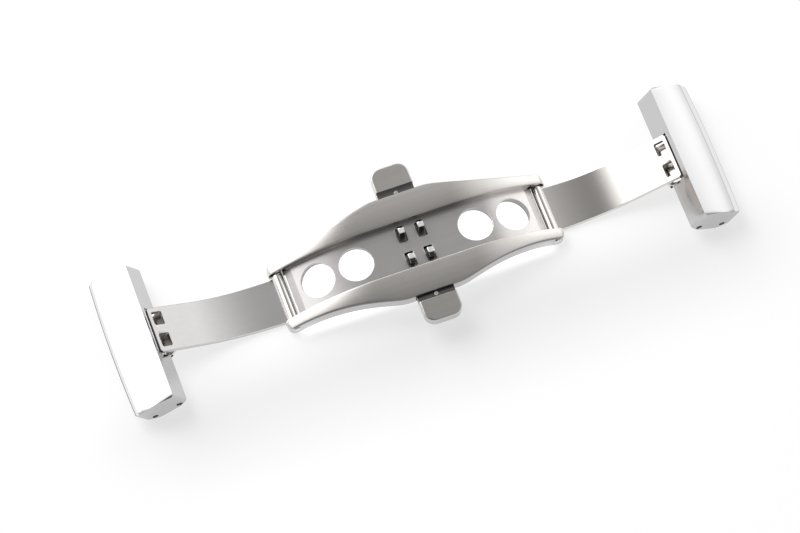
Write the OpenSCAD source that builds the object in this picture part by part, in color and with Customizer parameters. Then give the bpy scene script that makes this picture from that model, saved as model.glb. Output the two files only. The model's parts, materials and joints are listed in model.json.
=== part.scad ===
// Butterfly deployant clasp for an 18 mm watch strap, standing open on a table.
// +X runs along the clasp to the right arm, +Y to the back button and +Z up.
// The origin is on the table under the middle of the centre frame.
// Arms and end caps are drawn closed, then opened about their pins.

/* [Centre frame] */
// Half the length of the flat middle of the frame
flat_half = 6.5; // [6:0.1:7]
// Hinge pin axis from the middle of the clasp
hinge_x = 18.5; // [18:0.1:19]
// Height of the rail tops at the middle
rail_top_z = 5.5; // [5.3:0.05:5.8]
// Radius of the hinge lugs, half the thickness of the frame
lug_r = 1.15; // [1.1:0.01:1.2]
// Depth of the channel floor below the rail tops
channel_depth = 1.05; // [1:0.01:1.1]
// Half the width of the channel that the arms lie in
channel_half = 3.45; // [3.4:0.01:3.6]
// Half the width of the frame at the buttons
mid_half = 7.4; // [7.3:0.05:7.8]
// Thickness of the rail skin above the seam
rail_t = 0.45; // [0.4:0.01:0.5]
// Thickness of the channel floor
floor_t = 0.38; // [0.34:0.01:0.4]
// Thickness of the channel side walls
channel_wall = 0.4; // [0.35:0.01:0.45]
// Radial height of the channel floor over the hinge pin axis
floor_over_pin = 0.27; // [0.22:0.01:0.3]
// Angle at which the rails start to narrow
taper_angle = 14.5; // [12:0.5:16]
// Radius of the shoulder where the rails start to narrow
shoulder_r = 7; // [5:0.5:9]
// Where the shoulder starts, from the middle
shoulder_x = 3.25; // [3:0.05:3.5]
// Diameter of the four round holes
round_hole_d = 4.7; // [4.4:0.1:4.9]
// Inner round hole from the middle
inner_hole_x = 8.46; // [8.3:0.01:8.6]
// Outer round hole from the middle
outer_hole_x = 13.88; // [13.7:0.01:14]

/* [Arms] */
// Thickness of an arm
arm_t = 0.7; // [0.62:0.01:0.72]
// Half the width of an arm at its ends
arm_half = 3.25; // [3.15:0.01:3.3]
// How far an arm's sides draw in at the waist
arm_waist = 0.12; // [0:0.01:0.2]
// Gap between a closed arm and the channel floor
arm_gap = 0.06; // [0.04:0.01:0.1]
// Angle through which an arm folds
fold_angle = 157; // [155:0.1:157]
// Radius of the knuckle at the frame hinge
knuckle_r = 0.73; // [0.7:0.01:0.78]
// Radius of the frame hinge pins
arm_pin_r = 0.45; // [0.35:0.01:0.48]
// Length of an arm's window along the arm
window_l = 1.4; // [1.3:0.01:1.5]
// Width of an arm's window
window_w = 1.9; // [1.8:0.01:2]

/* [End caps] */
// Length of an end cap across the strap
cap_l = 20; // [20:0.1:22]
// Width of the strap that fits
strap_w = 18; // [17:0.1:18]
// Width of an end cap along the clasp, at its two ends
cap_w = 6.2; // [6:0.05:6.4]
// How far an end cap's outer side bows out at its middle
cap_belly = 0.3; // [0.3:0.05:0.55]
// Height of an end cap's inner face
cap_h = 3.5; // [3.5:0.05:3.7]
// Crown of an end cap's top
cap_crown = 0.45; // [0.3:0.05:0.6]
// Tilt of an end cap when the clasp is open
cap_tilt = 29.6; // [27:0.1:30]
// Radius of the end cap pins
cap_pin_r = 0.4; // [0.35:0.01:0.42]
// Radius of the holes for the strap's spring bar
strap_hole_r = 0.4; // [0.35:0.01:0.5]
// Gap between the two closed end caps
cap_gap = 0.2; // [0.16:0.01:0.3]

/* [Buttons] */
// Width of a button along the clasp
button_w = 5.25; // [5:0.05:5.5]
// Button's outer edge from the middle
button_reach = 11.6; // [11.3:0.05:12]
// Inner edge of a button's raised pad
pad_start = 8.3; // [8.25:0.05:8.5]
// Corner radius of a button
button_corner = 1.5; // [1:0.1:1.8]
// Travel of a button
button_travel = 0.7; // [0.6:0.05:0.7]
// Hooks from the middle of the clasp, along it
hook_x = 1.354; // [1.33:0.001:1.4]
// Width of a hook along the clasp
hook_w = 0.8; // [0.7:0.01:0.85]
// Outer face of a hook's stem, across the clasp
hook_face = 2.45; // [2.4:0.01:2.46]
// Overhang of a hook's head
hook_lip = 0.35; // [0.3:0.01:0.38]

/* [Hidden] */
// Clearances of pressed, running and seated pieces
press_fit = 0.01;
run_fit = 0.03;
seat_gap = 0.04;
side_gap = 0.07;
arc_fn = 180;
pin_fn = 48;
eps = 0.01;
big = 60;
over = 3;

hinge_z = lug_r;
hinge_dx = hinge_x - flat_half;
frame_t = 2 * lug_r;
belly_z = rail_top_z - frame_t;
floor_z = rail_top_z - channel_depth;
wall_out = channel_half + channel_wall;
tray_inset = 0.12;
slide_gap = 0.04;
tray_floor = 0.35;
tray_wall = 0.5;

// Closed place of an end cap's pin, and of what hangs on it
pin_inset = 1.14;
pin_drop = 3.3;
pin_over_floor = 2.55;
cap_pin_x = cap_gap / 2 + pin_inset;
cap_pin_z = floor_z + pin_over_floor;
tip_back = 0.05;
arm_tip_x = cap_gap / 2 + tip_back;
strap_hole_u = 4.81;
strap_hole_v = -2.88;

// Radius of an arc that is level at the end of the flat, h above the hinge
// axis, and passes q outside that axis, measured along the arc's own radius
function arch_r(h, q) = (hinge_dx * hinge_dx + h * h - q * q) / (2 * (h - q));

// Everything under an arch that is z high at the middle
module under(z, q, grow = 0) {
    r = arch_r(z - hinge_z, q);
    translate([-flat_half, -5]) square([2 * flat_half, z + grow + 5]);
    for (s = [-1, 1]) translate([s * flat_half, z - r]) circle(r = r + grow, $fn = arc_fn);
}

// The side view between the two hinge axes, cut off along the arch's radius
module between_hinges(z, q) {
    r = arch_r(z - hinge_z, q);
    far = 1.5;
    top_x = flat_half + hinge_dx * far;
    top_z = (z - r) + (hinge_z - z + r) * far;
    polygon([[flat_half, z - r], [top_x, top_z], [-top_x, top_z], [-flat_half, z - r]]);
}

// Stands a side view up and gives it a width across the clasp
module across(width) rotate([90, 0, 0]) linear_extrude(width, center = true) children();

// Quarter of the frame's plan: a round shoulder, a straight, a hollow taper and a round corner
end_angle = 1.5;
end_corner = 0.8;
straight_l = 3.1;
function frame_half(inset) = let(
    y0 = mid_half - inset,
    p1 = [shoulder_x + shoulder_r * sin(taper_angle), y0 - shoulder_r * (1 - cos(taper_angle))],
    p2 = p1 + straight_l * [cos(taper_angle), -sin(taper_angle)],
    r2 = (hinge_x - p2[0]) / (sin(taper_angle) - sin(end_angle)),
    c2 = p2 + r2 * [sin(taper_angle), cos(taper_angle)],
    last = c2 - r2 * [sin(end_angle), cos(end_angle)],
    round_at = [hinge_x + lug_r - end_corner, last[1] - end_corner],
    steps = 10)
    concat(
        [for (i = [0 : 4]) let(a = taper_angle * i / 4)
            [shoulder_x + shoulder_r * sin(a), y0 - shoulder_r * (1 - cos(a))]],
        [for (i = [0 : steps]) let(a = taper_angle + (end_angle - taper_angle) * i / steps)
            c2 - r2 * [sin(a), cos(a)]],
        [for (a = [0 : 15 : 90]) round_at + end_corner * [sin(a), cos(a)]]);

module frame_plan(inset) {
    quarter = frame_half(inset);
    turned = [for (i = [len(quarter) - 1 : -1 : 0]) [-quarter[i][0], quarter[i][1]]];
    top_side = concat(turned, quarter);
    low_side = [for (i = [len(top_side) - 1 : -1 : 0]) [top_side[i][0], -top_side[i][1]]];
    linear_extrude(rail_top_z + over) polygon(concat(top_side, low_side));
}

// Side view of the whole frame: an arched band that ends in round lugs
module frame_side() {
    intersection() {
        difference() {
            under(rail_top_z, lug_r);
            under(belly_z, -lug_r);
        }
        between_hinges(rail_top_z, lug_r);
    }
    for (s = [-1, 1]) translate([s * hinge_x, hinge_z]) circle(r = lug_r, $fn = pin_fn);
}

// Skin of the rails, from the seam up
module skin_side(grow = 0) {
    intersection() {
        difference() {
            under(rail_top_z, lug_r, 2);
            under(rail_top_z, lug_r, -rail_t - grow);
        }
        between_hinges(rail_top_z, lug_r);
    }
}

floor_arch_r = arch_r(floor_z - hinge_z, floor_over_pin);
function floor_angle(x) = asin((x - flat_half) / floor_arch_r);
function floor_height(x) = floor_z - floor_arch_r * (1 - cos(floor_angle(x)));
knuckle_room = 0.12;
floor_end = hinge_x - knuckle_r - knuckle_room;

module round_holes(d) {
    for (s = [-1, 1]) for (x = [inner_hole_x, outer_hole_x])
        translate([s * x, 0, floor_height(x)]) rotate([0, s * floor_angle(x), 0])
            cylinder(h = 6, d = d, center = true, $fn = 72);
}

// Floor windows in which the hooks stand and travel
window_edge = 0.1;
window_side = 0.225;
module hook_windows() {
    outer = hook_face + hook_lip + window_edge;
    inner = hook_face - hook_depth - button_travel - window_edge;
    for (sx = [-1, 1]) for (sy = [-1, 1])
        translate([sx * hook_x, sy * (outer + inner) / 2, floor_z])
            cube([hook_w + 2 * window_side, outer - inner, 2], center = true);
}

// Screws hold the base tray to bosses under the rails
screw_x = 7.6;
screw_y = 5.05;
screw_r = 0.45;
head_r = 0.9;
head_t = 0.35;
head_deep = 0.05;
boss_r = 0.95;
boss_z = 4.05;
screw_top = 4.8;
screw_bore_spare = 0.1;
driver_slot_w = 0.24;
driver_slot_deep = 0.15;
module at_screws() {
    for (sx = [-1, 1]) for (sy = [-1, 1]) translate([sx * screw_x, sy * screw_y, 0]) children();
}

// Side view of the channel floor, with a bevelled step beside each hinge knuckle
step_l = 1;
step_angle = 14;
module floor_side() {
    x0 = floor_end - step_l;
    difference() {
        under(floor_z, floor_over_pin);
        for (s = [0, 1]) mirror([s, 0])
            translate([x0, floor_height(x0)]) rotate(-floor_angle(x0) - step_angle) square(over);
    }
}

module frame_top() color([0.66, 0.65, 0.63]) difference() {
    union() {
        intersection() {
            frame_plan(0);
            across(big) intersection() {
                skin_side();
                frame_side();
            }
        }
        across(2 * wall_out) intersection() {
            difference() {
                under(rail_top_z, lug_r, -rail_t / 2);
                under(floor_z, floor_over_pin, -floor_t);
            }
            translate([-floor_end, 0]) square([2 * floor_end, big]);
        }
        at_screws() translate([0, 0, boss_z])
            cylinder(r = boss_r, h = rail_top_z - rail_t / 2 - boss_z, $fn = pin_fn);
    }
    across(2 * channel_half) difference() {
        translate([-floor_end - over, -1]) square([2 * (floor_end + over), big]);
        intersection() {
            floor_side();
            translate([-floor_end, -2]) square([2 * floor_end, big]);
        }
    }
    round_holes(round_hole_d);
    hook_windows();
    at_screws() translate([0, 0, boss_z - eps])
        cylinder(r = screw_r + press_fit, h = screw_top + screw_bore_spare - boss_z, $fn = pin_fn);
}

// Room for the slides and springs, under the rails and the floor
wall_in = mid_half - tray_inset - tray_wall;
pocket_half = 4;
pocket_open = 4;
tray_hole_more = 0.5;
neck_fit = 0.05;
module base_tray() color([0.78, 0.78, 0.79]) difference() {
    intersection() {
        frame_plan(tray_inset);
        across(big) difference() {
            frame_side();
            skin_side(seat_gap);
        }
    }
    across(2 * (wall_out + seat_gap)) intersection() {
        difference() {
            under(rail_top_z, lug_r, 1);
            under(floor_z, floor_over_pin, -floor_t - seat_gap);
        }
        translate([-floor_end - seat_gap, 0]) square([2 * (floor_end + seat_gap), big]);
    }
    for (s = [-1, 1]) translate([s * (floor_end + over / 2), 0, 0])
        cube([over, 2 * channel_half, big], center = true);
    round_holes(round_hole_d + tray_hole_more);
    translate([-pocket_half, -wall_in, belly_z + tray_floor])
        cube([2 * pocket_half, 2 * wall_in, pocket_open]);
    translate([-button_w / 2 - neck_fit, -big / 2, belly_z + tray_floor])
        cube([button_w + 2 * neck_fit, big, pocket_open]);
    at_screws() {
        translate([0, 0, boss_z - seat_gap]) cylinder(r = boss_r + seat_gap, h = over, $fn = pin_fn);
        cylinder(r = screw_r + run_fit, h = rail_top_z, $fn = pin_fn);
        cylinder(r = head_r + run_fit, h = belly_z + head_deep + head_t, $fn = pin_fn);
    }
    for (s = [-1, 1]) translate([s * hinge_x, 0, hinge_z])
        rotate([90, 0, 0]) cylinder(r = arm_pin_r + press_fit, h = big, center = true, $fn = pin_fn);
}

module frame_screws() color([0.72, 0.72, 0.73]) at_screws() difference() {
    translate([0, 0, belly_z + head_deep]) {
        cylinder(r = head_r, h = head_t - press_fit, $fn = pin_fn);
        cylinder(r = screw_r, h = screw_top - belly_z - head_deep, $fn = pin_fn);
    }
    translate([-head_r - 1, -driver_slot_w / 2, 0])
        cube([2 * (head_r + 1), driver_slot_w, belly_z + head_deep + driver_slot_deep]);
}

// Opening moves of a right-hand arm and end cap, from closed to the rest pose
module open_arm() {
    translate([hinge_x, 0, hinge_z]) rotate([0, fold_angle, 0])
        translate([-hinge_x, 0, -hinge_z]) children();
}
module open_cap() {
    open_arm() translate([cap_pin_x, 0, cap_pin_z]) rotate([0, cap_tilt - fold_angle, 0])
        translate([-cap_pin_x, 0, -cap_pin_z]) children();
}

// Plan of an arm: drawn in at the waist, with rounded outer corners
arm_corner = 0.4;
module arm_plan() {
    long = hinge_x - arm_tip_x;
    function half(x) = arm_half - arm_waist * sin(180 * (x - arm_tip_x) / long);
    corner = [arm_tip_x + arm_corner, arm_half - arm_corner];
    side = concat(
        [for (a = [0 : 22.5 : 90]) corner + arm_corner * [-cos(a), sin(a)]],
        [for (i = [2 : 12]) let(x = arm_tip_x + long * i / 12) [x, half(x)]],
        [[hinge_x + over, arm_half]]);
    back = [for (i = [len(side) - 1 : -1 : 0]) [side[i][0], -side[i][1]]];
    linear_extrude(big) polygon(concat(side, back));
}

// Block at an arm's end that carries the end cap's pin over the hook windows
block_end = 2.6;
end_wall = 0.4;
block_roof = 0.8;
cap_knuckle_r = 0.8;
head_room = 0.1;
module arm_closed() difference() {
    outside = floor_z + arm_gap + arm_t;
    union() {
        intersection() {
            arm_plan();
            across(big) intersection() {
                difference() {
                    under(floor_z, floor_over_pin, arm_gap + arm_t);
                    under(floor_z, floor_over_pin, arm_gap);
                }
                between_hinges(floor_z, floor_over_pin);
                translate([arm_tip_x, 0]) square([big, big]);
            }
        }
        intersection() {
            arm_plan();
            translate([arm_tip_x, -arm_half, outside - arm_t / 2])
                cube([block_end - arm_tip_x, 2 * arm_half, cap_pin_z - outside + arm_t / 2]);
        }
        translate([cap_pin_x, 0, cap_pin_z]) rotate([90, 0, 0])
            cylinder(r = cap_knuckle_r, h = 2 * arm_half, center = true, $fn = pin_fn);
        translate([hinge_x, 0, hinge_z]) rotate([90, 0, 0])
            cylinder(r = knuckle_r, h = 2 * (channel_half - side_gap), center = true, $fn = pin_fn);
    }
    // Tunnel for the hook heads, open at both sides
    translate([arm_tip_x + end_wall, -big / 2, outside])
        cube([block_end - arm_tip_x - 2 * end_wall, big, cap_pin_z - block_roof - outside]);
    for (s = [-1, 1]) translate([hook_x, s * (hook_face + head_room - window_w / 2), outside - arm_t])
        cube([window_l, window_w, 2 * arm_t], center = true);
    translate([cap_pin_x, 0, cap_pin_z]) rotate([90, 0, 0])
        cylinder(r = cap_pin_r + run_fit, h = big, center = true, $fn = pin_fn);
    translate([hinge_x, 0, hinge_z]) rotate([90, 0, 0])
        cylinder(r = arm_pin_r + run_fit, h = big, center = true, $fn = pin_fn);
}
module arm_right() color([0.72, 0.71, 0.7]) open_arm() arm_closed();
module arm_left() mirror([1, 0, 0]) arm_right();

// Pins of the frame hinges stand a little proud of the lugs
arm_pin_half = 4.95;
module arm_pin_right() color([0.85, 0.85, 0.86]) translate([hinge_x, 0, hinge_z]) rotate([90, 0, 0])
    cylinder(r = arm_pin_r, h = 2 * arm_pin_half, center = true, $fn = pin_fn);
module arm_pin_left() mirror([1, 0, 0]) arm_pin_right();

// End cap seen from its end: u outward from the inner face, v up from the top edge
cap_round = 1;
cap_outer_r = 2.45;
cap_foot = 0.5;
foot_run = 1;
module cap_side() {
    full_w = cap_w + cap_belly;
    crown_u = full_w - cap_round;
    crown_r = (crown_u * crown_u + cap_crown * cap_crown) / (2 * cap_crown);
    low = -cap_h - cap_foot;
    crown = [for (i = [0 : 8]) let(u = crown_u * i / 8)
        [u, cap_crown - crown_r + sqrt(crown_r * crown_r - (crown_u - u) * (crown_u - u))]];
    shoulder = [for (a = [15 : 15 : 90])
        [crown_u + cap_round * sin(a), cap_crown - cap_round * (1 - cos(a))]];
    difference() {
        polygon(concat(crown, shoulder, [[full_w, low], [foot_run, low], [0, -cap_h]]));
        difference() {
            translate([full_w - cap_outer_r, low - 1]) square(cap_outer_r + 1);
            translate([full_w - cap_outer_r, low + cap_outer_r]) circle(r = cap_outer_r, $fn = 64);
        }
    }
}

// Round the cap's outer side in plan
module cap_barrel() {
    half = cap_l / 2;
    barrel_r = (half * half + cap_belly * cap_belly) / (2 * cap_belly);
    translate([cap_w + cap_belly - barrel_r, 0, 0]) cylinder(r = barrel_r, h = big, center = true, $fn = 720);
}

// Slot that the arm's block swings in, and pocket for the strap's end
slot_room = 0.12;
slot_deep = block_end - cap_gap / 2 + slot_room;
slot_over_pin = 2.45;
slot_fit = 0.17;
slot_wall = 0.38;
pocket_roof = 0.95;
module cap_closed() translate([cap_gap / 2, 0, cap_pin_z + pin_drop]) difference() {
    intersection() {
        across(cap_l) cap_side();
        cap_barrel();
    }
    translate([-1, -arm_half - slot_fit, -pin_drop - over])
        cube([slot_deep + 1, 2 * (arm_half + slot_fit), slot_over_pin + over]);
    translate([slot_deep + slot_wall, -strap_w / 2, -cap_h - over])
        cube([cap_w, strap_w, cap_h + over - pocket_roof]);
    translate([pin_inset, 0, -pin_drop]) rotate([90, 0, 0])
        cylinder(r = cap_pin_r + press_fit, h = big, center = true, $fn = pin_fn);
    translate([strap_hole_u, 0, strap_hole_v]) rotate([90, 0, 0])
        cylinder(r = strap_hole_r, h = big, center = true, $fn = pin_fn);
}
module end_cap_right() color([0.88, 0.88, 0.89]) open_cap() cap_closed();
module end_cap_left() mirror([1, 0, 0]) end_cap_right();

// Pins of the end caps stop short of the cap's end faces
pin_recess = 0.5;
module cap_pin_right() color([0.4, 0.4, 0.41]) open_cap()
    translate([cap_pin_x, 0, cap_pin_z]) rotate([90, 0, 0])
        cylinder(r = cap_pin_r, h = cap_l - 2 * pin_recess, center = true, $fn = pin_fn);
module cap_pin_left() mirror([1, 0, 0]) cap_pin_right();

// A button's slide: tongue under the floor, two hooks, spring bar and stops
slide_z = belly_z + tray_floor + slide_gap;
slide_t = floor_z - floor_t - slide_gap - slide_z;
tongue_half = 2.2;
tongue_end = 0.95;
stop_half = 3.6;
stop_t = 0.6;
stop_gap = 0.05;
stop_out = wall_in - stop_gap;
stop_top = rail_top_z - rail_t - seat_gap - stop_gap - eps;
hook_depth = 0.9;
hook_rise = 1.4;
hook_top = floor_z + hook_rise;
lip_z = floor_z + arm_gap + arm_t + side_gap;
hook_flat = 0.15;
module hook() rotate([90, 0, 90]) linear_extrude(hook_w, center = true) polygon([
    [hook_face - hook_depth, slide_z],
    [hook_face, slide_z],
    [hook_face, lip_z],
    [hook_face + hook_lip, lip_z],
    [hook_face - hook_flat, hook_top],
    [hook_face - hook_depth, hook_top]
]);
pin_y = 7.75;
pin_r = 0.3;
module slide_back() color([0.75, 0.75, 0.76]) difference() {
    union() {
        translate([-tongue_half, tongue_end, slide_z])
            cube([2 * tongue_half, pad_start - stop_gap - tongue_end, slide_t]);
        translate([-stop_half, stop_out - stop_t, slide_z])
            cube([2 * stop_half, stop_t, stop_top - slide_z]);
        for (s = [-1, 1]) translate([s * hook_x, 0, 0]) hook();
    }
    translate([0, pin_y, 0]) cylinder(r = pin_r + press_fit, h = big, $fn = pin_fn);
}
module slide_front() mirror([0, 1, 0]) slide_back();

// Push button: a low neck lapped on the slide and a raised rounded pad
neck_top = 4.75;
pad_low = 3.9;
pad_top = 5.42;
module pad_plan() {
    half = button_w / 2;
    translate([-half, pad_start]) square([button_w, button_reach - button_corner - pad_start]);
    translate([-half + button_corner, pad_start])
        square([button_w - 2 * button_corner, button_reach - pad_start]);
    for (s = [-1, 1]) translate([s * (half - button_corner), button_reach - button_corner])
        circle(r = button_corner, $fn = 64);
}
module button_back() color([0.7, 0.7, 0.7]) difference() {
    union() {
        translate([0, 0, pad_low]) linear_extrude(pad_top - pad_low) pad_plan();
        translate([-button_w / 2, stop_out + eps, slide_z + slide_t])
            cube([button_w, pad_start - stop_out, neck_top - slide_z - slide_t]);
    }
    translate([0, pin_y, 0]) cylinder(r = pin_r + press_fit, h = big, $fn = pin_fn);
}
module button_front() mirror([0, 1, 0]) button_back();

pin_proud = 0.2;
module button_pin_back() color([0.85, 0.85, 0.86]) translate([0, pin_y, slide_z])
    cylinder(r = pin_r, h = neck_top + pin_proud - slide_z, $fn = pin_fn);
module button_pin_front() mirror([0, 1, 0]) button_pin_back();

// Coil springs between the channel's side walls and the slides' stops
spring_x = 2.95;
spring_r = 0.45;
wire_r = 0.09;
spring_turns = 4;
spring_steps = 12;
wire_sides = 6;
spring_start = wall_out + eps + wire_r;
spring_end = stop_out - stop_t - eps - wire_r;
spring_z = (slide_z + slide_t + stop_top) / 2;
module coil() {
    rings = spring_turns * spring_steps;
    points = [for (i = [0 : rings]) for (j = [0 : wire_sides - 1]) let(
        a = 360 * i / spring_steps,
        b = 360 * j / wire_sides,
        r = spring_r + wire_r * cos(b))
        [r * cos(a), spring_start + (spring_end - spring_start) * i / rings + wire_r * sin(b), r * sin(a)]];
    last = rings * wire_sides;
    sides = [for (i = [0 : rings - 1]) for (j = [0 : wire_sides - 1]) let(
        k = (j + 1) % wire_sides,
        p = i * wire_sides)
        each [[p + j, p + wire_sides + j, p + k], [p + k, p + wire_sides + j, p + wire_sides + k]]];
    start_cap = [for (j = [1 : wire_sides - 2]) [0, j, j + 1]];
    end_cap = [for (j = [1 : wire_sides - 2]) [last, last + j + 1, last + j]];
    polyhedron(points = points, faces = concat(sides, start_cap, end_cap));
}
module spring_back_right() color([0.6, 0.6, 0.62]) translate([spring_x, 0, spring_z]) coil();
module spring_back_left() mirror([1, 0, 0]) spring_back_right();
module spring_front_right() mirror([0, 1, 0]) spring_back_right();
module spring_front_left() mirror([0, 1, 0]) spring_back_left();

frame_top();
base_tray();
frame_screws();
arm_left();
arm_right();
arm_pin_left();
arm_pin_right();
end_cap_left();
end_cap_right();
cap_pin_left();
cap_pin_right();
button_back();
button_front();
slide_back();
slide_front();
button_pin_back();
button_pin_front();
spring_back_left();
spring_back_right();
spring_front_left();
spring_front_right();
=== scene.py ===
# %% [markdown]
# # A butterfly clasp in satin and polished steel
# The solids of the clasp come from the imported model, which is loaded as a fixed frame: every piece made
# here goes straight where the solids are, in metres.

# %% Load the frame
import json
import math

import bmesh
import bpy
import numpy as np
from mathutils import Matrix, Vector
from mathutils.geometry import delaunay_2d_cdt

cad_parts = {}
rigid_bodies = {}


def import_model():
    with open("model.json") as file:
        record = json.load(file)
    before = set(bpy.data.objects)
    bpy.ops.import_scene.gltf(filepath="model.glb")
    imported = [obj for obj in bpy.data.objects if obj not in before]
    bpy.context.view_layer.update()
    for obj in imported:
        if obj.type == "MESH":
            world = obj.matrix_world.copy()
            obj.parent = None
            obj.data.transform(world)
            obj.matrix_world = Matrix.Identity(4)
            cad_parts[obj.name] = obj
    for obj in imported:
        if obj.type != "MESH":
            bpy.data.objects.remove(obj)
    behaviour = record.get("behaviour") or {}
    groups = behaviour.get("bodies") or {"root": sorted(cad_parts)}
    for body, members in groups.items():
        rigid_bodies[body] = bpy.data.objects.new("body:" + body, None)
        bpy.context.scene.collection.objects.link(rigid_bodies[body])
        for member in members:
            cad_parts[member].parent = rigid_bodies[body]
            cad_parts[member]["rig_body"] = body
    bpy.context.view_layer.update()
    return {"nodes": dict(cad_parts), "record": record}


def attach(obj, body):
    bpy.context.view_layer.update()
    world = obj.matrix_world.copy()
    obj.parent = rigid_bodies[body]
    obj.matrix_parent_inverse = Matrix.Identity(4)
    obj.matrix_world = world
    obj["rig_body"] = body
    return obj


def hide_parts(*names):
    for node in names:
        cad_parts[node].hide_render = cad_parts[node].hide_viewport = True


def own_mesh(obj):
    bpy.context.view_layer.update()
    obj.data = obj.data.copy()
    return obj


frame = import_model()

MM = 0.001
scene = bpy.context.scene

# %% [markdown]
# ## Where the camera stands
# The clasp was photographed from above and a little to one side with a long lens. The direction and the
# distance were found by fitting the clasp's corners and pins to their places in the picture.

# %% Camera
LENS_UP, LENS_ROUND = math.radians(67.004), math.radians(-20.157)
LENS_AWAY = 477.47
FOCAL_PX = 3595.6
PICTURE = (800, 533)
LOOK_HEIGHT = 4.65
LOOK_PX = (415.912, 243.211)


def camera_axes(up_angle, round_angle):
    """Right, up and back of a camera: back is tilted up from the horizon by one angle and turned about
    the vertical by the other, right is level, and up is square to both."""
    back = np.array([0.0, -math.cos(up_angle), math.sin(up_angle)])
    c, s = math.cos(round_angle), math.sin(round_angle)
    back = np.array([c * back[0] - s * back[1], s * back[0] + c * back[1], back[2]])
    right = np.cross([0, 0, 1], back)
    right /= np.linalg.norm(right)
    return right, np.cross(back, right), back


def place(thing, right, up, back, where):
    """Set where a thing is, in metres, and which way its own three axes point."""
    pose = np.eye(4)
    pose[:3] = np.column_stack([right, up, back, where])
    thing.matrix_world = Matrix(pose.tolist())


right, up, back = camera_axes(LENS_UP, LENS_ROUND)
aside = (LOOK_PX[0] - PICTURE[0] / 2) * LENS_AWAY / FOCAL_PX
above = (PICTURE[1] / 2 - LOOK_PX[1]) * LENS_AWAY / FOCAL_PX
stand = np.array([0, 0, LOOK_HEIGHT]) - aside * right - above * up + LENS_AWAY * back
camera = bpy.data.objects.new("camera", bpy.data.cameras.new("camera"))
scene.collection.objects.link(camera)
camera.data.sensor_width = 36
camera.data.lens = FOCAL_PX / PICTURE[0] * camera.data.sensor_width
camera.data.clip_start = 0.01
place(camera, right, up, back, stand * MM)
scene.camera = camera
print("camera at", np.round(stand, 1), "mm, lens", round(camera.data.lens, 1), "mm")

# %% [markdown]
# ## Sums on sockets
# A finish is easier to read as a sum than as a web of boxes. The class below wraps a socket, so that
# `1 - mask * 0.3` adds the Math nodes. The method `node` makes any other node and fills its sockets.

# %% A socket that can be used in sums
class Socket:
    """A node's output. Each operator adds one Math node and returns its output."""

    def __init__(self, graph, socket):
        self.graph, self.socket = graph, socket

    def sum(self, operation, *values):
        return self.graph.node("ShaderNodeMath", {"operation": operation}, dict(enumerate(values)))

    def __add__(self, other):
        return self.sum("ADD", self, other)

    def __sub__(self, other):
        return self.sum("SUBTRACT", self, other)

    def __rsub__(self, other):
        return self.sum("SUBTRACT", other, self)

    def __mul__(self, other):
        return self.sum("MULTIPLY", self, other)

    def __gt__(self, other):
        return self.sum("GREATER_THAN", self, other)

    def above(self, start, end):
        """0 below start, 1 past end, and a soft step in between."""
        settings = {"interpolation_type": "SMOOTHSTEP"}
        ends = {"Value": self, "From Min": start, "From Max": end}
        return self.graph.node("ShaderNodeMapRange", settings, ends)

    def output(self, name):
        """Another output of the same node."""
        return Socket(self.graph, self.socket.node.outputs[name])

    __radd__, __rmul__ = __add__, __mul__


class Graph:
    """The node tree of a material or of the world."""

    def __init__(self, owner):
        owner.use_nodes = True
        self.tree = owner.node_tree
        self.tree.nodes.clear()

    def node(self, kind, settings=None, values=None, out=0):
        made = self.tree.nodes.new(kind)
        for name, value in (settings or {}).items():
            setattr(made, name, value)
        for name, value in (values or {}).items():
            if isinstance(value, Socket):
                self.tree.links.new(value.socket, made.inputs[name])
            else:
                made.inputs[name].default_value = value
        return Socket(self, made.outputs[out])

    def show(self, kind, shader):
        """End the tree with an output node that shows the shader."""
        out = self.tree.nodes.new(kind)
        self.tree.links.new(shader.socket, out.inputs["Surface"])


print("sockets can be summed")

# %% [markdown]
# ## The studio
# Polished steel shows the room. Faces that lean to the left and the back mirror a bright panel, faces that
# lean to the right and the front mirror a paler one, and level faces mirror the grey ceiling between the
# two. Upright faces mirror the dark room behind the lamps, which draws a thin dark line along each outer
# edge. So the world is a grey sky with two bright sides and a dark horizon, stronger towards the back.
# Each edge below is where a soft step starts and ends. The camera sees plain white.

# %% World
CEILING, SHADE, HORIZON = 0.46, 0.20, 0.4
LEFT_PANEL, LEFT_LOW, LEFT_EDGE = 1.75, 0.35, (0.38, 0.6)
RIGHT_PANEL, RIGHT_LOW, RIGHT_EDGE = 1.3, 0.35, (-0.1, 0.55)
BACK_LIGHT, BACK_SHARE, BACK_EDGE = 1.25, 0.534, (0.1, 0.6)
TABLE_LINE, SHADE_EDGE = (0.04, 0.42), (0.0, 0.35)
PANEL_SIDE = (-0.8, 0.6)
WHITE = (1, 1, 1, 1)

world = bpy.data.worlds.new("studio")
scene.world = world
graph = Graph(world)
toward = graph.node("ShaderNodeTexCoord", out="Generated")
x = graph.node("ShaderNodeSeparateXYZ", None, {0: toward})
y, z = x.output(1), x.output(2)
side = x * PANEL_SIDE[0] + y * PANEL_SIDE[1]
left = side.above(*LEFT_EDGE)
right_side = (0 - side).above(*RIGHT_EDGE)
low_light = right_side * RIGHT_LOW + left * LEFT_LOW + HORIZON
above_table = z.above(*TABLE_LINE) * (1 - low_light) + low_light
light = left * LEFT_PANEL + right_side * RIGHT_PANEL + CEILING - side.above(*SHADE_EDGE) * SHADE
light = light * above_table
light = light * (y.above(*BACK_EDGE) * BACK_LIGHT + 1.0 - BACK_SHARE * BACK_LIGHT)
seen = graph.node("ShaderNodeLightPath", out="Is Camera Ray")
sky = graph.node("ShaderNodeBackground", None, {"Color": WHITE, "Strength": light})
white = graph.node("ShaderNodeBackground", None, {"Color": WHITE})
graph.show("ShaderNodeOutputWorld", graph.node("ShaderNodeMixShader", None, {0: seen, 1: sky, 2: white}))
scene.view_settings.view_transform = "Standard"
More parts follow.
